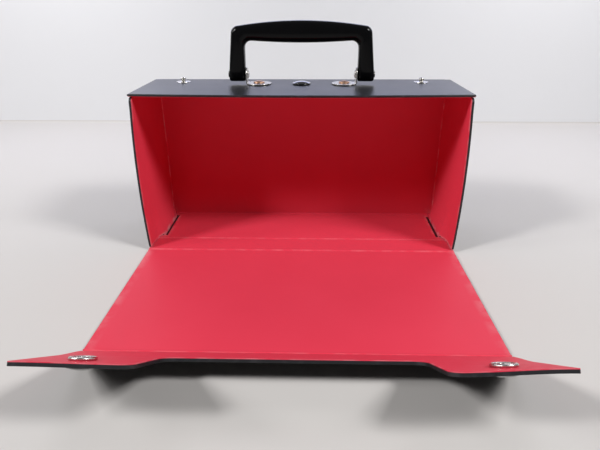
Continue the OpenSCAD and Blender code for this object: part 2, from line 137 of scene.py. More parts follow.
# Calendered PVC on board, embossed with a fine hide grain: satin, greyer where its edges are rubbed, and
# greyer too on the strips that the lining draws as painted highlight.
# The real grain is about half as wide, and is drawn coarser so that it shows.
def makeBlackVinyl():
    finish, tree, shader, place = startFinish("blackVinylBoard", {"IOR": 1.5})
    cloud = addNode(tree, "TexNoise", {"Scale": perMetre(38), "Detail": 4}, {"Vector": place})
    cells = addNode(tree, "TexVoronoi", {"Scale": perMetre(1.1)}, {"Vector": place}, feature="SMOOTH_F1")
    rubAndHighlight = addNode(tree, "TexNoise", {"Scale": perMetre(5), "Detail": 6}, {"Vector": place})
    tone = addNode(tree, "Mix", {"A": linear("#161619"), "B": linear("#1F1F23")},
                   {"Factor": cloud.outputs["Fac"]}, data_type="RGBA")
    # rim marks: rubbed cut edges, and the strips marked for the lining's painted highlight
    rim = addNode(tree, "Attribute", attribute_name="rim").outputs["Fac"]
    spots = addNode(tree, "MapRange", {"From Min": 0.5, "From Max": 0.72, "To Max": 0.5},
                    {"Value": rubAndHighlight.outputs["Fac"]})
    wearAndHighlight = addNode(tree, "Math", links={0: rim, 1: spots.outputs["Result"]}, operation="MULTIPLY")
    colour = addNode(tree, "Mix", {"B": linear("#3C3A3E")},
                     {"Factor": wearAndHighlight.outputs[0], "A": tone.outputs["Result"]}, data_type="RGBA")
    rough = addNode(tree, "MapRange", {"To Min": 0.3, "To Max": 0.4}, {"Value": cloud.outputs["Fac"]})
    grain = addNode(tree, "Bump", {"Strength": 0.2, "Distance": 0.06 * mm},
                    {"Height": cells.outputs["Distance"]})
    linkFinish(tree, shader, colour, rough, grain)
    return finish


# Thin PVC lining film, bonded smooth: satin, cloudy where it was handled, and mixed towards pale pink along
# its marked folds, creases and cut edges as painted highlight.
# Its real grain is about half as wide, and is drawn coarser so that it shows.
def makeRedLining():
    finish, tree, shader, place = startFinish("redVinylLining", {"IOR": 1.5, "Specular IOR Level": 0.08})
    cloud = addNode(tree, "TexNoise", {"Scale": perMetre(60), "Detail": 5}, {"Vector": place})
    cells = addNode(tree, "TexVoronoi", {"Scale": perMetre(0.8)}, {"Vector": place}, feature="SMOOTH_F1")
    rubAndHighlight = addNode(tree, "TexNoise", {"Scale": perMetre(9), "Detail": 6}, {"Vector": place})
    tone = addNode(tree, "Mix", {"A": linear("#D93B4F"), "B": linear("#E14257")},
                   {"Factor": cloud.outputs["Fac"]}, data_type="RGBA")
    # rim marks: folds, creases and cut edges, drawn pale pink below as painted highlight
    rim = addNode(tree, "Attribute", attribute_name="rim").outputs["Fac"]
    spots = addNode(tree, "MapRange", {"From Min": 0.4, "From Max": 0.62, "To Max": 0.5},
                    {"Value": rubAndHighlight.outputs["Fac"]})
    wearAndHighlight = addNode(tree, "Math", links={0: rim, 1: spots.outputs["Result"]}, operation="MULTIPLY")
    colour = addNode(tree, "Mix", {"B": linear("#E08A92")},
                     {"Factor": wearAndHighlight.outputs[0], "A": tone.outputs["Result"]}, data_type="RGBA")
    rough = addNode(tree, "MapRange", {"To Min": 0.4, "To Max": 0.54}, {"Value": rubAndHighlight.outputs["Fac"]})
    grain = addNode(tree, "Bump", {"Strength": 0.15, "Distance": 0.04 * mm},
                    {"Height": cells.outputs["Distance"]})
    linkFinish(tree, shader, colour, rough, grain)
    return finish


# Pressed steel, nickel plated: bright and warm grey, dulled in patches by handling
def makeNickel():
    finish, tree, shader, place = startFinish("nickelPlatedSteel", {"Metallic": 1})
    cloud = addNode(tree, "TexNoise", {"Scale": perMetre(3), "Detail": 5}, {"Vector": place})
    colour = addNode(tree, "Mix", {"A": linear("#DAD8D5"), "B": linear("#B5B1AC")},
                     {"Factor": cloud.outputs["Fac"]}, data_type="RGBA")
    rough = addNode(tree, "MapRange", {"To Min": 0.18, "To Max": 0.36}, {"Value": cloud.outputs["Fac"]})
    linkFinish(tree, shader, colour, rough)
    return finish


# Headed brass rivet, gone coppery: soft shine with brown tarnish in patches
def makeBrass():
    finish, tree, shader, place = startFinish("tarnishedBrass", {"Metallic": 1})
    cloud = addNode(tree, "TexNoise", {"Scale": perMetre(2.5), "Detail": 5}, {"Vector": place})
    stain = addNode(tree, "MapRange", {"From Min": 0.45, "From Max": 0.75}, {"Value": cloud.outputs["Fac"]})
    colour = addNode(tree, "Mix", {"A": linear("#CDA283"), "B": linear("#8C5F42")},
                     {"Factor": stain.outputs["Result"]}, data_type="RGBA")
    rough = addNode(tree, "MapRange", {"To Min": 0.25, "To Max": 0.5}, {"Value": cloud.outputs["Fac"]})
    linkFinish(tree, shader, colour, rough)
    return finish


# Stoved enamel on pressed steel: deep gloss with a faint orange peel
def makeEnamel():
    finish, tree, shader, place = startFinish("stovedBlackEnamel", {
        "IOR": 1.52, "Coat Weight": 1, "Coat Roughness": 0.03})
    peel = addNode(tree, "TexNoise", {"Scale": perMetre(1.4), "Detail": 2}, {"Vector": place})
    colour = addNode(tree, "Mix", {"A": linear("#0D0D0F"), "B": linear("#151518")},
                     {"Factor": peel.outputs["Fac"]}, data_type="RGBA")
    rough = addNode(tree, "MapRange", {"To Min": 0.05, "To Max": 0.1}, {"Value": peel.outputs["Fac"]})
    bump = addNode(tree, "Bump", {"Strength": 0.1, "Distance": 0.05 * mm}, {"Height": peel.outputs["Fac"]})
    linkFinish(tree, shader, colour, rough, bump)
    return finish


# Moulded ABS: polished tool finish, with flow waviness and dull patches where hands rub it
def makeMoulded():
    finish, tree, shader, place = startFinish("blackMouldedABS", {"IOR": 1.53, "Specular IOR Level": 0.12})
    flow = addNode(tree, "TexNoise", {"Scale": perMetre(14), "Detail": 1}, {"Vector": place})
    rubAndHighlight = addNode(tree, "TexNoise", {"Scale": perMetre(6), "Detail": 6}, {"Vector": place})
    colour = addNode(tree, "Mix", {"A": linear("#050506"), "B": linear("#09090B")},
                     {"Factor": rubAndHighlight.outputs["Fac"]}, data_type="RGBA")
    rough = addNode(tree, "MapRange", {"To Min": 0.08, "To Max": 0.16}, {"Value": rubAndHighlight.outputs["Fac"]})
    bump = addNode(tree, "Bump", {"Strength": 0.15, "Distance": 0.2 * mm}, {"Height": flow.outputs["Fac"]})
    linkFinish(tree, shader, colour, rough, bump)
    return finish


finishes = {
    "black_vinyl": makeBlackVinyl(), "red_lining": makeRedLining(), "nickel_plate": makeNickel(),
    "brass": makeBrass(), "black_enamel": makeEnamel(), "moulded_plastic": makeMoulded()}
print("finishes:", ", ".join(finish.name for finish in finishes.values()))


# Blanks: a sheet is cut flat, u across and v along it, with its depth upwards, and then folded to its place

# Places from start to stop: the fixed ones, and even ones between them
def stations(start, stop, step, extras=()):
    count = max(1, round((stop - start) / step))
    fixed = sorted({start, stop, *extras})
    even = [start + (stop - start) * i / count for i in range(1, count)]
    return sorted(fixed + [e for e in even if min(abs(e - f) for f in fixed) > step * crowd])


def ease(t):
    t = max(0, min(1, t))
    return t * t * (3 - 2 * t)


def cutBlank(us, vs, depth, thickness, gone=None):
    bm = bmesh.new()
    tip = bm.verts.new((us[0], vs[0], depth))
    row = []
    for u in us[1:]:
        made = bmesh.ops.extrude_vert_indiv(bm, verts=[tip])
        tip = made["verts"][0]
        tip.co.x = u
        row += made["edges"]
    for v in vs[1:]:
        made = bmesh.ops.extrude_edge_only(bm, edges=row)["geom"]
        row = [item for item in made if isinstance(item, bmesh.types.BMEdge)]
        for item in made:
            if isinstance(item, bmesh.types.BMVert):
                item.co.y = v
    if gone:
        waste = [face for face in bm.faces if gone(*face.calc_center_median()[:2])]
        bmesh.ops.delete(bm, geom=waste, context="FACES")
    made = bmesh.ops.extrude_face_region(bm, geom=bm.faces[:])["geom"]
    upper = [item for item in made if isinstance(item, bmesh.types.BMVert)]
    bmesh.ops.translate(bm, verts=upper, vec=(0, 0, thickness))
    return bm


# Turns a square corner of a flat blank into a round one: sides say which way the corner points
def roundCorner(bm, corner, sides, radius):
    centre = [corner[k] - sides[k] * radius for k in (0, 1)]
    for vert in bm.verts:
        a, b = [(vert.co[k] - centre[k]) * sides[k] / radius for k in (0, 1)]
        if min(a, b) > 0 and max(a, b) < withEdge:
            vert.co.x = centre[0] + sides[0] * radius * a * math.sqrt(max(0, 1 - b * b / 2))
            vert.co.y = centre[1] + sides[1] * radius * b * math.sqrt(max(0, 1 - a * a / 2))


# Turns a square hole of a flat blank into a round one
def roundHole(bm, centre, radius):
    for vert in bm.verts:
        a, b = [(vert.co[k] - centre[k]) / radius for k in (0, 1)]
        if max(abs(a), abs(b)) < withEdge:
            vert.co.x = centre[0] + radius * a * math.sqrt(1 - b * b / 2)
            vert.co.y = centre[1] + radius * b * math.sqrt(1 - a * a / 2)


# Folds a flat blank and rounds its cut edges, apart from the seams that butt against the next sheet
def foldBlank(bm, shape, rimR, seam=None):
    bmesh.ops.recalc_face_normals(bm, faces=bm.faces[:])
    rims = []
    for edge in bm.edges:
        middle = (edge.verts[0].co + edge.verts[1].co) / 2
        level = abs(edge.verts[0].co.z - edge.verts[1].co.z) < hair
        if level and edge.calc_face_angle() > rimTurn and not (seam and seam(middle.x, middle.y)):
            rims.append(edge)
    for vert in bm.verts:
        vert.co = shape(*vert.co)
    bmesh.ops.recalc_face_normals(bm, faces=bm.faces[:])
    # Flags the rounded cut edges: the board's finish draws them rubbed grey, the lining's draws them pale
    # pink as painted highlight
    rimWearAndHighlight = bm.verts.layers.float.new("rim")
    made = bmesh.ops.bevel(bm, geom=rims, offset=rimR, offset_type="OFFSET", affect="EDGES", segments=3,
                           profile=0.5, clamp_overlap=True, material=-1)
    for vert in made["verts"]:
        vert[rimWearAndHighlight] = 1
    return bm


# Marks a strip of a folded sheet that its finish draws paler: on the lining this is painted highlight, on the
# board a greyer strip
def markHighlightStrip(bm, amount, rubbed):
    rimWearAndHighlight = bm.verts.layers.float["rim"]
    for vert in bm.verts:
        if rubbed(vert.co):
            vert[rimWearAndHighlight] = amount


def finishPiece(name, bm, slotName, body=None, nodes=(), flatFaces=False, rounds=0):
    for edge in bm.edges:
        edge.smooth = not (flatFaces and edge.is_manifold and edge.calc_face_angle() > crispTurn)
    mesh = bpy.data.meshes.new(name)
    bm.to_mesh(mesh)
    bm.free()
    mesh.materials.append(finishes[slotName])
    mesh.shade_smooth()
    piece = bpy.data.objects.new(name, mesh)
    scene.collection.objects.link(piece)
    if rounds:
        smooth = piece.modifiers.new("rounding", "SUBSURF")
        smooth.levels = smooth.render_levels = rounds
    if flatFaces:
        normals = piece.modifiers.new("panelNormals", "WEIGHTED_NORMAL")
        normals.weight = broadFirst
        normals.keep_sharp = True
    if body:
        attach(piece, body)
    if nodes:
        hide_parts(*nodes)
    return piece


# Top: from its front edge to the end of the back fold, sagging a little at the mouth
topPanel = {
    "cell": 6 * mm, "sag": 0.9 * mm, "rim": {"board": 0.8 * mm, "red": 0.15 * mm},
    "hem": {"board": 0, "red": 1.5 * mm}}
topFlat = foldY - mouthY


def topShape(u, v, d):
    if v <= topFlat:
        sag = topPanel["sag"] * (1 - v / topFlat) ** 2 * (1 - (u / topHalfW) ** 2)
        return (u, mouthY + v, topZ - d - sag)
    a = (v - topFlat) / foldR
    return (u, foldY + (foldR - d) * math.sin(a), topZ - foldR + (foldR - d) * math.cos(a))


foldRows = [foldArc * k / foldSteps for k in range(foldSteps + 1)]
for layer, (slotName, depth, thickness) in layers.items():
    bm = cutBlank(stations(-topHalfW, topHalfW, topPanel["cell"], (-foldX, foldX)),
                  stations(topPanel["hem"][layer], topFlat, topPanel["cell"])
                  + [topFlat + row for row in foldRows[1:]],
                  depth, thickness, lambda u, v: v > topFlat and abs(u) > foldX)
    foldBlank(bm, topShape, topPanel["rim"][layer], lambda u, v: v > topFlat + foldArc - onLine)
    finishPiece("top_" + layer, bm, slotName, "case",
                ["top_panel" if layer == "board" else "top_lining"], flatFaces=True)

# Floor: from the flap's crease to the end of the back fold, with a pressed crease and two slots
# The lining's slots are cut wider than the board's, so that a strip of black board shows along each slot as
# painted shade
floorPanel = {
    "cell": 6 * mm, "rim": {"board": 0.4 * mm, "red": 0.15 * mm},
    "crease": -18 * mm, "creaseW": 3.4 * mm, "creaseDepth": 0.55 * mm, "highlightW": 2.72 * mm, "rubAndHighlight": 0.4,
    "slotIn": {"board": 123 * mm, "red": 120.8 * mm}, "slotOut": 126.3 * mm, "slotY": (-12.5 * mm, 32.9 * mm)}
floorStart = hinge.y + creaseHalf
floorFlat = foldY - floorStart


def floorShape(u, v, d):
    if v <= floorFlat:
        off = abs(floorStart + v - floorPanel["crease"]) / (floorPanel["creaseW"] / 2)
        groove = floorPanel["creaseDepth"] * ease(1 - off) if d > boardT / 2 else 0
        return (u, floorStart + v, d - groove)
    a = (v - floorFlat) / foldR
    return (u, foldY + (foldR - d) * math.sin(a), foldR - (foldR - d) * math.cos(a))


def inSlot(u, v, layer):
    y0, y1 = floorPanel["slotY"]
    return floorPanel["slotIn"][layer] < abs(u) < floorPanel["slotOut"] and y0 < floorStart + v < y1


creaseRows = [floorPanel["crease"] + floorPanel["creaseW"] * k / 8 - floorStart for k in range(-4, 5)]
slotRows = [y - floorStart for y in floorPanel["slotY"]]
for layer, (slotName, depth, thickness) in layers.items():
    slotEdges = [side * x for side in (-1, 1) for x in (floorPanel["slotIn"][layer], floorPanel["slotOut"])]
    bm = cutBlank(stations(-halfW, halfW, floorPanel["cell"], (-foldX, foldX, *slotEdges)),
                  stations(0, floorFlat, floorPanel["cell"], (*creaseRows, *slotRows))
                  + [floorFlat + row for row in foldRows[1:]], depth, thickness,
                  lambda u, v: inSlot(u, v, layer) or (v > floorFlat and abs(u) > foldX))
    foldBlank(bm, floorShape, floorPanel["rim"][layer],
              lambda u, v: v > floorFlat + foldArc - onLine or v < onLine)
    # A paler strip along the pressed crease: painted highlight
    markHighlightStrip(bm, floorPanel["rubAndHighlight"], lambda co: abs(co.y - floorPanel["crease"]) < floorPanel["highlightW"] / 2)
    finishPiece("floor_" + layer, bm, slotName, "case",
                ["bottom_panel" if layer == "board" else "bottom_lining"], flatFaces=True)

# Back: flat between the folds, turned forward at both sides to meet the side panels
backPanel = {
    "cell": 7 * mm, "rim": {"board": 0.3 * mm, "red": 0.12 * mm}, "gap": 0.5 * mm,
    "highlightW": 1.08 * mm, "rubAndHighlight": 1.7}
backLow = sheetT + backPanel["gap"]
backHigh = topZ - backLow


def backShape(u, v, d):
    if abs(u) <= foldX:
        return (u, backY - d, v)
    a = (abs(u) - foldX) / foldR
    return (math.copysign(foldX + (foldR - d) * math.sin(a), u), foldY + (foldR - d) * math.cos(a), v)


for layer, (slotName, depth, thickness) in layers.items():
    turned = [foldX + row for row in foldRows[1:]]
    bm = cutBlank([-u for u in reversed(turned)] + stations(-foldX, foldX, backPanel["cell"]) + turned,
                  stations(backLow, backHigh, backPanel["cell"], (foldR, topZ - foldR)), depth, thickness,
                  lambda u, v: abs(u) < foldX and not foldR < v < topZ - foldR)
    foldBlank(bm, backShape, backPanel["rim"][layer],
              lambda u, v: abs(u) < foldX or abs(u) > foldX + foldArc - onLine)
    # A paler strip down each back corner fold: painted highlight
    markHighlightStrip(bm, backPanel["rubAndHighlight"], lambda co: co.y < foldY + backPanel["highlightW"])
    finishPiece("back_" + layer, bm, slotName, "case",
                ["back_panel" if layer == "board" else "back_lining"], flatFaces=True)

# Sides: bowed in front, the foot drawn in to its floor slot, a tab turned in under the top
sidePanel = {
    "cell": 5 * mm, "rim": {"board": 0.5 * mm, "red": 0.15 * mm}, "bow": 2 * mm,
    "tuck": 4.2 * mm, "tuckH": 30 * mm, "ramp": 9 * mm, "tongue": (-12 * mm, 32.4 * mm),
    "tongueLift": 0.3 * mm, "footLift": 1 * mm, "cornerR": 4 * mm,
    "tab": (-7 * mm, 35 * mm), "tabW": 42 * mm, "slit": 0.6 * mm,
    "mouthHighlightW": 1.1 * mm, "mouthHighlight": 1, "footHighlightH": 0.6 * mm, "footHighlight": 1.7}
sideTop = topZ - sheetT - foldR
freeTop = topZ - sheetT - backPanel["gap"]
footZ = sheetT + sidePanel["footLift"]
tabEnd = sideTop + foldArc + sidePanel["tabW"] - foldR


def sideX(y, z):
    up = max(0, min(1, (z - sheetT) / (sideTop - foldR - sheetT)))
    bow = sidePanel["bow"] * 4 * up * (1 - up) * (foldY - y) / (foldY - mouthY)
    low = max(0, min(1, 1 - (z - sheetT) / sidePanel["tuckH"]))
    front, rear = sidePanel["tongue"]
    along = ease(1 - (front - y) / sidePanel["ramp"]) * ease((foldY - y) / (foldY - rear))
    return halfW + bow - sidePanel["tuck"] * low * low * along


def inTab(y):
    return sidePanel["tab"][0] - hair < y < sidePanel["tab"][1] + hair


def sideShape(u, v, d):
    if v <= sideTop or not inTab(u):
        return (sideX(u, v) - d, u, v)
    a = min(v - sideTop, foldArc) / foldR
    flat = max(0, v - sideTop - foldArc)
    return (foldX + (foldR - d) * math.cos(a) - flat, u, sideTop + (foldR - d) * math.sin(a))


def sideGone(u, v):
    (front, rear), (tab0, tab1) = sidePanel["tongue"], sidePanel["tab"]
    if v < footZ:
        return not front < u < rear
    if v > freeTop:
        return not tab0 < u < tab1
    slit = tab0 - sidePanel["slit"] < u < tab0 or tab1 < u < tab1 + sidePanel["slit"]
    return v > sideTop and slit


cornerSteps = [sidePanel["cornerR"] * k / 4 for k in range(1, 5)]
sideColumns = [*sidePanel["tongue"], *sidePanel["tab"], sidePanel["tab"][0] - sidePanel["slit"],
               sidePanel["tab"][1] + sidePanel["slit"], *[mouthY + step for step in cornerSteps]]
sideRows = stations(sidePanel["tongueLift"], freeTop, sidePanel["cell"],
                    (footZ, sideTop, *[freeTop - step for step in cornerSteps]))
tabRows = [row for row in stations(freeTop, tabEnd, sidePanel["cell"], [sideTop + row for row in foldRows])
           if row > freeTop]
for side, flip in (("right", 1), ("left", -1)):
    for layer, (slotName, depth, thickness) in layers.items():
        bm = cutBlank(stations(mouthY, foldY, sidePanel["cell"], sideColumns), sideRows + tabRows,
                      depth, thickness, sideGone)
        roundCorner(bm, (mouthY, freeTop), (-1, 1), sidePanel["cornerR"])
        foldBlank(bm, sideShape, sidePanel["rim"][layer], lambda u, v: u > foldY - onLine)
        # Paler strips along the front edge and the foot: painted highlight
        markHighlightStrip(bm, sidePanel["mouthHighlight"], lambda co: co.y < mouthY + sidePanel["mouthHighlightW"])
        markHighlightStrip(bm, sidePanel["footHighlight"], lambda co: co.z < footZ + sidePanel["footHighlightH"])
        bmesh.ops.scale(bm, verts=bm.verts[:], vec=(flip, 1, 1))
        bmesh.ops.recalc_face_normals(bm, faces=bm.faces[:])
        node = side + ("_side_panel" if layer == "board" else "_side_lining")
        finishPiece(side + "_side_" + layer, bm, slotName, "case", [node], flatFaces=True)
print("case sheets made")

# Flap: from the floor's crease to the lip's crease
flapPanel = {
    "cell": 7 * mm, "rim": {"board": 0.5 * mm, "red": 0.15 * mm}, "hem": {"board": 0, "red": 0.5 * mm}}
flapLength = flapEnd - lipAxis.y - creaseHalf


def flapShape(u, v, d):
    return (u, flapEnd - v, d)


for layer, (slotName, depth, thickness) in layers.items():
    half = halfW - flapPanel["hem"][layer]
    bm = cutBlank(stations(-half, half, flapPanel["cell"]), stations(0, flapLength, flapPanel["cell"]),
                  depth, thickness)
    foldBlank(bm, flapShape, flapPanel["rim"][layer],
              lambda u, v: v < onLine or v > flapLength - onLine)
    finishPiece("flap_" + layer, bm, slotName, "flap",
                ["front_flap" if layer == "board" else "front_flap_lining"], flatFaces=True)

# Lip: a strip and two ears, the strip and the ears' inner corners hanging a little lower than the outer ones
lipPanel = {
    "cell": 5 * mm, "rim": {"board": 0.6 * mm, "red": 0.15 * mm},
    "earL": 77 * mm, "stripL": 29 * mm, "notch": 72 * mm, "earR": 6 * mm, "tipR": 1.2 * mm, "notchR": 8 * mm,
    "socketX": 101.5 * mm, "socketV": 61.6 * mm, "holeR": 2.9 * mm,
    "stripHang": 1.1 * mm, "sideHang": 0.8 * mm,
    "tipHang": {-1: 0.2 * mm, 1: -0.2 * mm}, "earHang": {-1: 0.9 * mm, 1: 2.2 * mm}}
lipPlace = Matrix.Translation(lipAxis) @ Matrix.Rotation(-lipAngle, 4, "X")


def between(a, b, t):
    return a + (b - a) * t


def lipHang(u, v):
    side = 1 if u > 0 else -1
    inner = ease((halfW - abs(u)) / (halfW - lipPanel["notch"]))
    rise = ease((v - creaseHalf) / (lipPanel["stripL"] - creaseHalf))
    past = max(0, (v - lipPanel["stripL"]) / (lipPanel["earL"] - lipPanel["stripL"]))
    low = rise * between(lipPanel["sideHang"], lipPanel["stripHang"], inner)
    return between(low, between(lipPanel["tipHang"][side], lipPanel["earHang"][side], inner), past)


def lipShape(u, v, d):
    return lipPlace @ Vector((u, -v, d - boardT / 2 - lipHang(u, v)))


# Where a fastener sits on the lip, turned to the sheet's own slope
def lipSpot(u, v, d):
    origin = lipShape(u, v, d)
    across = (lipShape(u + mm, v, d) - origin).normalized()
    normal = across.cross(lipShape(u, v - mm, d) - origin).normalized()
    return Matrix.Translation(origin) @ Matrix((across, normal.cross(across), normal)).transposed().to_4x4()


# Draws the notch's inner corners out to a fillet: cut edges move onto the arc, and cells behind them follow
def filletNotch(bm):
    radius = lipPanel["notchR"]
    for vert in bm.verts:
        side = 1 if vert.co.x > 0 else -1
        centre = Vector((side * (lipPanel["notch"] - radius), lipPanel["stripL"] + radius))
        away = Vector((vert.co.x, vert.co.y)) - centre
        across, along = away.x * side, -away.y
        depth = max(across, along) - radius
        if min(across, along) > 0 and depth > -hair:
            share = max(0, 1 - depth / (2 * radius))
            pull = (radius - away.length * radius / max(across, along)) * share
            vert.co.x += away.x / away.length * pull
            vert.co.y += away.y / away.length * pull


def lipGone(u, v):
    inHole = max(abs(abs(u) - lipPanel["socketX"]), abs(v - lipPanel["socketV"])) < lipPanel["holeR"]
    return inHole or (abs(u) < lipPanel["notch"] and v > lipPanel["stripL"])


holeSteps = [lipPanel["holeR"] * k / 3 for k in range(-3, 4)]
earSteps = [lipPanel["earR"] * k / 5 for k in range(1, 6)]
tipSteps = [lipPanel["tipR"] * k / 3 for k in range(1, 4)]
filletSteps = [lipPanel["notchR"] * k / 5 for k in range(6)]
lipColumns = [side * x for side in (-1, 1) for x in (
    lipPanel["notch"], *[lipPanel["notch"] + step for step in earSteps], *[halfW - step for step in tipSteps],
    *[lipPanel["notch"] - step for step in filletSteps], *[lipPanel["socketX"] + step for step in holeSteps])]
lipRows = ([lipPanel["stripL"] + step for step in filletSteps]
           + [lipPanel["earL"] - step for step in earSteps + tipSteps]
           + [lipPanel["socketV"] + step for step in holeSteps])
for layer, (slotName, depth, thickness) in layers.items():
    bm = cutBlank(stations(-halfW, halfW, lipPanel["cell"], lipColumns),
                  stations(creaseHalf, lipPanel["earL"], lipPanel["cell"], lipRows),
                  depth, thickness, lipGone)
    filletNotch(bm)
    for side in (-1, 1):
        roundCorner(bm, (side * halfW, lipPanel["earL"]), (side, 1), lipPanel["tipR"])
        roundCorner(bm, (side * lipPanel["notch"], lipPanel["earL"]), (-side, 1), lipPanel["earR"])
        roundHole(bm, (side * lipPanel["socketX"], lipPanel["socketV"]), lipPanel["holeR"])
    foldBlank(bm, lipShape, lipPanel["rim"][layer], lambda u, v: v < creaseHalf + onLine)
    finishPiece("lip_" + layer, bm, slotName, "lip",
                ["closing_lip" if layer == "board" else "closing_lip_lining"], flatFaces=True)

# Creases: pressed thinner than the sheets that they join, and turning between them
crease = {"cell": 10 * mm, "rows": 12, "press": 0.4, "rim": 0.12 * mm, "highlightShare": 0.7, "rubAndHighlight": 0.5}


def makeCrease(name, axis, restAngle, bodies):
    def creaseShape(u, v, d):
        t = v / (2 * creaseHalf)
        press = 1 - crease["press"] * math.sin(math.pi * t) ** 2
        flat = Vector((0, creaseHalf - v, d * press - boardT / 2))
        return Vector((u, axis.y, axis.z)) + Matrix.Rotation(-restAngle * ease(t), 3, "X") @ flat

    rows = [2 * creaseHalf * k / crease["rows"] for k in range(crease["rows"] + 1)]
    for layer, (slotName, depth, thickness) in layers.items():
        bm = cutBlank(stations(-halfW, halfW, crease["cell"]), rows, depth, thickness)
        foldBlank(bm, creaseShape, crease["rim"], lambda u, v: abs(u) <= halfW - onLine)
        # A paler strip along the middle of the crease: painted highlight
        markHighlightStrip(bm, crease["rubAndHighlight"], lambda co: abs(co.y - axis.y) < creaseHalf * crease["highlightShare"])
        piece = finishPiece(name + "_" + layer, bm, slotName)
        turn = Matrix.Rotation(-restAngle, 3, "X") @ Vector((0, -creaseHalf, 0))
        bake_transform(piece, *bodies, start=axis + Vector((0, creaseHalf, 0)), end=axis + turn)


makeCrease("flap_crease", hinge, 0, ("case", "flap"))
makeCrease("lip_crease", lipAxis, lipAngle, ("flap", "lip"))
print("flap, lip and creases made")


# Turned pieces: a profile of radius and height, spun about Z and set in its place

def arc(centre, radius, start, stop, count):
    angles = [math.radians(start + (stop - start) * k / count) for k in range(count + 1)]
    return [(centre[0] + radius * math.cos(a), centre[1] + radius * math.sin(a)) for a in angles]


def domeProfile(radius, rim, crown, edge):
    ball = (radius * radius + crown * crown) / (2 * crown)
    reach = math.degrees(math.asin((radius - edge) / ball))
    top = arc((0, rim + crown - ball), ball, 90, 90 - reach, 8)
    return [(0, 0), (radius - edge / 2, 0), (radius, edge / 2)] + list(reversed(
        top + arc((radius - edge, rim - edge / 3), edge, 70, 0, 4)))


def turnPiece(name, profile, place, slotName, body, nodes, steps=56, closed=False):
    bm = bmesh.new()
    chain = [bm.verts.new((r * mm, 0, z * mm)) for r, z in profile]
    for first, second in zip(chain, chain[1:] + (chain[:1] if closed else [])):
        bm.edges.new((first, second))
    bmesh.ops.spin(bm, geom=bm.verts[:] + bm.edges[:], cent=(0, 0, 0), axis=(0, 0, 1),
                   angle=math.tau, steps=steps, use_merge=True)
    bmesh.ops.remove_doubles(bm, verts=bm.verts[:], dist=hair / 2)
    bmesh.ops.recalc_face_normals(bm, faces=bm.faces[:])
    bmesh.ops.transform(bm, matrix=place, verts=bm.verts[:])
    return finishPiece(name, bm, slotName, body, nodes, flatFaces=True)


# Press fasteners: millimetres, heights over the face that each sits on
snap = {
    "capR": 7.6, "capRim": 0.9, "capCrown": 1.7, "capEdge": 0.5,
    "bead": 0.95, "beadFoot": 0.4, "socketR": 6.8, "plate": 1.1, "bore": 2.8, "chamfer": 0.1,
    "studR": 6.15, "studFoot": 0.15, "studRim": 0.4, "studCrown": 0.4, "neck": 1.9, "neckFlare": 0.4,
    "neckFoot": 0.3, "knob": 2.3, "knobEdge": 1.1, "studH": 4, "dimple": 0.35, "dimpleEdge": 0.05,
    "wireR": 0.3, "springR": 2.95, "springOpen": 50}
studY = hinge.y + lipPanel["socketV"]
beadX = snap["socketR"] - snap["bead"]
beadRise = math.degrees(math.asin((snap["plate"] - snap["bead"]) / snap["bead"]))
socketProfile = (
    [(snap["bore"], 0), (snap["bore"], snap["plate"] - snap["chamfer"]),
     (snap["bore"] + snap["chamfer"], snap["plate"])]
    + arc((beadX, snap["bead"]), snap["bead"], 180 - beadRise, -60, 14)
    + [(beadX + snap["beadFoot"], 0)])
knobZ = snap["studH"] - snap["knobEdge"]
knobIn = snap["knob"] - snap["knobEdge"]
studIn = snap["studR"] - snap["chamfer"]
studTop = snap["studRim"] + snap["studCrown"]
dimpleZ = snap["studH"] - snap["dimple"]
studProfile = (
    [(0, 0), (studIn, 0), (snap["studR"], snap["studFoot"]), (studIn, snap["studRim"]),
     (snap["studR"] * 0.6, snap["studRim"] + snap["studCrown"] * 0.7),
     (snap["neck"] + snap["neckFlare"], studTop), (snap["neck"], studTop + snap["neckFoot"]),
     (snap["neck"], knobZ - snap["knobEdge"] * 0.75)]
    + arc((knobIn, knobZ), snap["knobEdge"], -40, 90, 9)
    + [(knobIn * 0.6, snap["studH"] - snap["dimpleEdge"]), (knobIn * 0.4, dimpleZ), (0, dimpleZ)])
capProfile = domeProfile(snap["capR"], snap["capRim"], snap["capCrown"], snap["capEdge"])
underside = Matrix.Rotation(math.pi, 4, "Y")
for side, flip in (("left", -1), ("right", 1)):
    u, v = flip * lipPanel["socketX"], lipPanel["socketV"]
    ear = lipSpot(u, v, sheetT)
    turnPiece(side + "_press_socket", socketProfile, ear, "nickel_plate", "lip", [side + "_snap_socket"],
              closed=True)
    turnPiece(side + "_press_cap", capProfile, lipSpot(u, v, 0) @ underside,
              "black_enamel", "lip", [side + "_snap_cap"])
    turnPiece(side + "_press_stud", studProfile, Matrix.Translation((u, studY, topZ)), "nickel_plate", "case",
              [side + "_snap_stud"])
    bm = bmesh.new()
    wireEnd = Matrix.Translation((snap["springR"] * mm, 0, 0)) @ Matrix.Rotation(math.pi / 2, 4, "X")
    bmesh.ops.create_circle(bm, segments=10, radius=snap["wireR"] * mm, cap_ends=True, matrix=wireEnd)
    halfOpen = Matrix.Rotation(math.radians(snap["springOpen"] / 2), 3, "Z")
    bmesh.ops.rotate(bm, verts=bm.verts[:], matrix=halfOpen)
    bmesh.ops.spin(bm, geom=bm.faces[:], cent=(0, 0, 0), axis=(0, 0, 1), steps=40,
                   angle=math.radians(360 - snap["springOpen"]))
    bmesh.ops.recalc_face_normals(bm, faces=bm.faces[:])
    bmesh.ops.transform(bm, verts=bm.verts[:], matrix=ear @ Matrix.Translation(
        (0, 0, (snap["plate"] + snap["wireR"]) * mm)))
    finishPiece(side + "_socket_wire", bm, "nickel_plate", "lip", [side + "_socket_spring"])
turnPiece("top_cap", capProfile, Matrix.Translation((0, pivot.y, topZ)), "black_enamel", "case",
          ["centre_cap"])
print("press fasteners made")

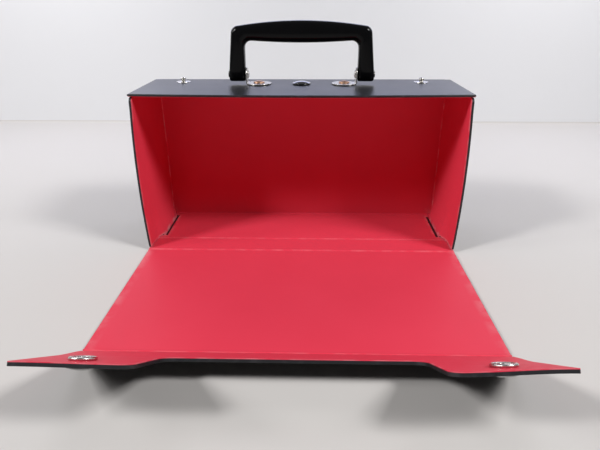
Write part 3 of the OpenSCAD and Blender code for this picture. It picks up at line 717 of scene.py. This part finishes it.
# Handle fittings: bent plates, and the heads of rivets and pins in millimetres
fitting = {
    "armX": 45.7 * mm, "plateR": 10.25 * mm, "thickness": 1 * mm, "bendR": 2 * mm, "armW": 11 * mm,
    "armSteps": 8, "armTurn": 80, "rim": 0.25 * mm, "footEnd": 60 * mm,
    "rivetR": 4.5, "rivetRim": 0.7, "rivetCrown": 1.1, "rivetEdge": 0.4,
    "pinR": 3.2, "pinRim": 0.6, "pinCrown": 0.9, "pinEdge": 0.3,
    "endR": 2.7, "endRim": 0.3, "endCrown": 0.5, "endEdge": 0.2}
plateX = fitting["armX"] - fitting["plateR"]
bendX = fitting["armX"] - fitting["bendR"]
pivotH = pivot.z - topZ
armTurns = [math.radians(fitting["armTurn"] * k / fitting["armSteps"])
            for k in range(fitting["armSteps"] + 1)]
armEnd = [(pivotH + fitting["armW"] / 2 * math.sin(a), fitting["armW"] / 2 * math.cos(a)) for a in armTurns]


def makeBracket(flip):
    bm = bmesh.new()
    bmesh.ops.create_circle(bm, segments=64, radius=fitting["plateR"], cap_ends=True,
                            matrix=Matrix.Translation((plateX, 0, 0)))
    bmesh.ops.bisect_plane(bm, geom=bm.verts[:] + bm.edges[:] + bm.faces[:], plane_co=(bendX, 0, 0),
                           plane_no=(1, 0, 0), clear_outer=True)
    edge = [e for e in bm.edges if all(abs(vert.co.x - bendX) < hair for vert in e.verts)]
    for vert in edge[0].verts:
        vert.co.y = math.copysign(fitting["armW"] / 2, vert.co.y)
    made = bmesh.ops.spin(bm, geom=edge, cent=(bendX, 0, fitting["bendR"]), axis=(0, -1, 0), steps=6,
                          angle=math.pi / 2)["geom_last"]
    edge = [item for item in made if isinstance(item, bmesh.types.BMEdge)]
    for z, half in armEnd:
        made = bmesh.ops.extrude_edge_only(bm, edges=edge)["geom"]
        edge = [item for item in made if isinstance(item, bmesh.types.BMEdge)]
        for vert in edge[0].verts:
            vert.co.y = math.copysign(half, vert.co.y)
            vert.co.z = z
    bmesh.ops.recalc_face_normals(bm, faces=bm.faces[:])
    plate = max(bm.faces, key=lambda face: face.calc_area())
    if plate.normal.z > 0:
        bmesh.ops.reverse_faces(bm, faces=bm.faces[:])
    bmesh.ops.solidify(bm, geom=bm.faces[:], thickness=fitting["thickness"])
    bmesh.ops.recalc_face_normals(bm, faces=bm.faces[:])
    rims = [e for e in bm.edges if e.is_manifold and e.calc_face_angle() > rimTurn]
    bmesh.ops.bevel(bm, geom=rims, offset=fitting["rim"], offset_type="OFFSET", affect="EDGES", segments=2,
                    profile=0.5, clamp_overlap=True, material=-1)
    bmesh.ops.transform(bm, verts=bm.verts[:], matrix=Matrix.Translation((0, pivot.y, topZ)))
    bmesh.ops.scale(bm, verts=bm.verts[:], vec=(flip, 1, 1))
    bmesh.ops.recalc_face_normals(bm, faces=bm.faces[:])
    return bm


rivetProfile, pinProfile, endProfile = [
    domeProfile(*[fitting[head + size] for size in ("R", "Rim", "Crown", "Edge")])
    for head in ("rivet", "pin", "end")]
for side, flip in (("left", -1), ("right", 1)):
    finishPiece(side + "_bracket", makeBracket(flip), "nickel_plate", "case", [side + "_handle_bracket"],
                flatFaces=True)
    turnPiece(side + "_rivet_head", rivetProfile,
              Matrix.Translation((flip * plateX, pivot.y, topZ + fitting["thickness"])), "brass", "case",
              [side + "_bracket_rivet"])
    inner = Matrix.Translation((flip * (fitting["armX"] - fitting["thickness"]), pivot.y, pivot.z))
    outer = Matrix.Translation((flip * fitting["footEnd"], pivot.y, pivot.z))
    turnPiece(side + "_pin_inner_head", pinProfile, inner @ Matrix.Rotation(-flip * math.pi / 2, 4, "Y"),
              "nickel_plate", "case", [side + "_pivot_pin"])
    turnPiece(side + "_pin_outer_head", endProfile, outer @ Matrix.Rotation(flip * math.pi / 2, 4, "Y"),
              "nickel_plate", "case", [side + "_pivot_pin"])
print("handle fittings made")

# Handle: sections from one foot over the grip to the other, each an outer point, an inner point and half a
# thickness, in millimetres from the pivot
grip = {
    "footW": 120, "gripW": 113.5, "handW": 92, "top": 41.5, "depth": 17, "midT": 16, "endT": 14, "drop": 4,
    "rise": 1.5, "cornerR": 5.5, "handR": 5.5, "footR": 5.8, "power": 3, "footPower": 8, "sides": 28}
endTop = grip["top"] - grip["drop"]
under = grip["top"] - grip["depth"]
endUnder = under + grip["rise"]
crownX = grip["gripW"] / 2 - grip["cornerR"]
bellyX = grip["handW"] / 2 - grip["handR"]


def footSection(a):
    middle = (grip["footW"] + grip["handW"]) / 4
    narrowing = (1 - math.sin(a) ** grip["footPower"]) ** (1 / grip["footPower"])
    half = (grip["footW"] - grip["handW"]) / 4 * narrowing
    z = -grip["footR"] * math.sin(a)
    return (-middle - half, z), (-middle + half, z), grip["footR"] * math.cos(a)


def legSection(t):
    outer = (-(grip["footW"] + (grip["gripW"] - grip["footW"]) * t) / 2, t * (endTop - grip["cornerR"]))
    inner = (-grip["handW"] / 2, t * (endUnder - grip["handR"]))
    return outer, inner, grip["footR"] + (grip["endT"] / 2 - grip["footR"]) * t


def cornerSection(a):
    outer = (-crownX - grip["cornerR"] * math.cos(a), endTop - grip["cornerR"] * (1 - math.sin(a)))
    inner = (-bellyX - grip["handR"] * math.cos(a), endUnder - grip["handR"] * (1 - math.sin(a)))
    return outer, inner, grip["endT"] / 2


def gripSection(t):
    outer = (t * crownX, grip["top"] - grip["drop"] * t * t)
    inner = (t * bellyX, under + grip["rise"] * t * t)
    return outer, inner, (grip["midT"] + (grip["endT"] - grip["midT"]) * t * t) / 2


def mirrored(section):
    (x0, z0), (x1, z1), half = section
    return (-x0, z0), (-x1, z1), half


halfGrip = (
    [footSection(math.radians(a)) for a in (84, 76, 65, 52, 36, 18, 0)]
    + [legSection(k / 5) for k in range(1, 6)]
    + [cornerSection(math.radians(a)) for a in range(15, 91, 15)]
    + [gripSection(k / 9 - 1) for k in range(1, 9)])
sections = halfGrip + [gripSection(0)] + [mirrored(section) for section in reversed(halfGrip)]


def ringEdges(bm, section):
    (x0, z0), (x1, z1), half = section
    ring = bmesh.ops.create_circle(bm, segments=grip["sides"], radius=1)["verts"]
    for vert in ring:
        u, v = [math.copysign(abs(c) ** (2 / grip["power"]), c) for c in vert.co[:2]]
        x = (x0 + x1) / 2 + u * (x0 - x1) / 2
        z = (z0 + z1) / 2 + u * (z0 - z1) / 2
        vert.co = Vector((x, v * half, z)) * mm
    return list({edge for vert in ring for edge in vert.link_edges})


bm = bmesh.new()
rings = [ringEdges(bm, section) for section in sections]
for first, second in zip(rings, rings[1:]):
    bmesh.ops.bridge_loops(bm, edges=first + second)
bmesh.ops.holes_fill(bm, edges=rings[0] + rings[-1])
bmesh.ops.recalc_face_normals(bm, faces=bm.faces[:])
bmesh.ops.translate(bm, verts=bm.verts[:], vec=pivot)
finishPiece("handle_moulding", bm, "moulded_plastic", "handle", ["handle"], rounds=1)
print("handle made")

# Washers and eyelets under the top keep their own meshes
for node in ("left_rivet_washer", "right_rivet_washer", "centre_cap_washer",
             "left_stud_eyelet", "right_stud_eyelet"):
    kept = frame["nodes"][node]
    kept.data.materials.clear()
    kept.data.materials.append(finishes["nickel_plate"])

# Stage: a pale floor that turns up into a pale wall behind the case
stage = {
    "wallY": 0.44, "coveR": 0.004, "coveSteps": 12, "half": 1.25, "front": -1.2, "high": 0.36,
    "table": {"Base Color": linear("#CECAC7"), "Roughness": 0.7},
    "wall": {"Base Color": linear("#E0E0E2"), "Roughness": 0.8}}
bm = bmesh.new()
edge = [bm.edges.new([bm.verts.new((side * stage["half"], stage["front"], 0)) for side in (-1, 1)])]
cove = [(stage["wallY"] - stage["coveR"] * (1 - math.sin(a)), stage["coveR"] * (1 - math.cos(a)))
        for a in [math.radians(90 * k / stage["coveSteps"]) for k in range(stage["coveSteps"] + 1)]]
for y, z in cove + [(stage["wallY"], stage["high"])]:
    made = bmesh.ops.extrude_edge_only(bm, edges=edge)["geom"]
    edge = [item for item in made if isinstance(item, bmesh.types.BMEdge)]
    for vert in edge[0].verts:
        vert.co.y = y
        vert.co.z = z
for face in bm.faces:
    face.material_index = 1 if face.calc_center_median().z > stage["coveR"] else 0
mesh = bpy.data.meshes.new("backdrop")
bm.to_mesh(mesh)
bm.free()
mesh.shade_smooth()
mesh.materials.append(startFinish("paleTable", stage["table"])[0])
mesh.materials.append(startFinish("paleWall", stage["wall"])[0])
backdrop = bpy.data.objects.new("backdrop", mesh)
scene.collection.objects.link(backdrop)

# Light: a lamp at each side of the camera and a weaker one farther out, a small one at each side behind the
# case, a broad cool one along the wall over the picture's upper edge, and a dim even room. A lamp is its
# place, what it points at, its width and height, its watts and its tint.
middle = (0, -0.06, 0.03)
lamps = {
    "left": ((-0.95, -0.62, 1.02), middle, 0.22, 0.22, 11, "#FFFFFF"),
    "right": ((0.78, -0.48, 0.95), middle, 0.26, 0.26, 9.2, "#FFFFFF"),
    "farLeft": ((-1.2, -0.3, 0.75), middle, 0.22, 0.22, 3.6, "#FFFFFF"),
    "farRight": ((1.1, -0.4, 0.9), middle, 0.22, 0.22, 1.5, "#FFFFFF"),
    "rearLeft": ((-0.36, 0.3, 0.4), (-0.36, 0.06, 0), 0.25, 0.25, 0.5, "#FFFFFF"),
    "rearRight": ((0.36, 0.3, 0.4), (0.36, 0.06, 0), 0.25, 0.25, 0.5, "#FFFFFF"),
    "rear": ((0, 0.43, 0.28), middle, 1.5, 0.16, 1.2, "#BEC8FF")}
room = {"light": 0.02, "seen": 0.25, "colour": "#F4F4F6"}
for name, (place, aim, across, high, power, tint) in lamps.items():
    lamp = bpy.data.lights.new(name + "Lamp", "AREA")
    lamp.shape = "RECTANGLE"
    lamp.size = across
    lamp.size_y = high
    lamp.energy = power
    lamp.color = linear(tint)[:3]
    holder = bpy.data.objects.new(name + "Lamp", lamp)
    holder.location = place
    holder.rotation_euler = (Vector(aim) - Vector(place)).to_track_quat("-Z", "Y").to_euler()
    holder.visible_camera = False
    scene.collection.objects.link(holder)
world = bpy.data.worlds.new("room")
world.use_nodes = True
tree = world.node_tree
rays = addNode(tree, "LightPath").outputs
seen = addNode(tree, "Math", links={0: rays["Is Camera Ray"], 1: rays["Is Glossy Ray"]}, operation="MAXIMUM")
seen = addNode(tree, "Math", links={0: seen.outputs[0], 1: rays["Is Transmission Ray"]}, operation="MAXIMUM")
strength = addNode(tree, "MapRange", {"To Min": room["light"], "To Max": room["seen"]},
                   {"Value": seen.outputs[0]})
tree.nodes["Background"].inputs["Color"].default_value = linear(room["colour"])
tree.links.new(strength.outputs["Result"], tree.nodes["Background"].inputs["Strength"])
scene.world = world
scene.view_settings.view_transform = "Standard"

# Camera: where the picture was taken from
view = {
    "place": (9.0 * mm, -414.6 * mm, 197.2 * mm), "pitch": 24.59, "yaw": -1.42, "roll": -0.13,
    "focalPx": 495.7, "imageW": 600, "sensorW": 36, "nearest": 0.01, "farthest": 20}
pitch, yaw, roll = [math.radians(view[name]) for name in ("pitch", "yaw", "roll")]
forward = Vector((math.sin(yaw) * math.cos(pitch), math.cos(yaw) * math.cos(pitch), -math.sin(pitch)))
right = Vector((math.cos(yaw), -math.sin(yaw), 0))
up = right.cross(forward)
right, up = math.cos(roll) * right + math.sin(roll) * up, math.cos(roll) * up - math.sin(roll) * right
lens = bpy.data.cameras.new("photoCamera")
lens.sensor_width = view["sensorW"]
lens.lens = view["focalPx"] * lens.sensor_width / view["imageW"]
lens.clip_start = view["nearest"]
lens.clip_end = view["farthest"]
camera = bpy.data.objects.new("photoCamera", lens)
cameraTurn = Matrix((right, up, -forward)).transposed().to_4x4()
camera.matrix_world = Matrix.Translation(view["place"]) @ cameraTurn
scene.collection.objects.link(camera)
scene.camera = camera
print("stage, light and camera set")
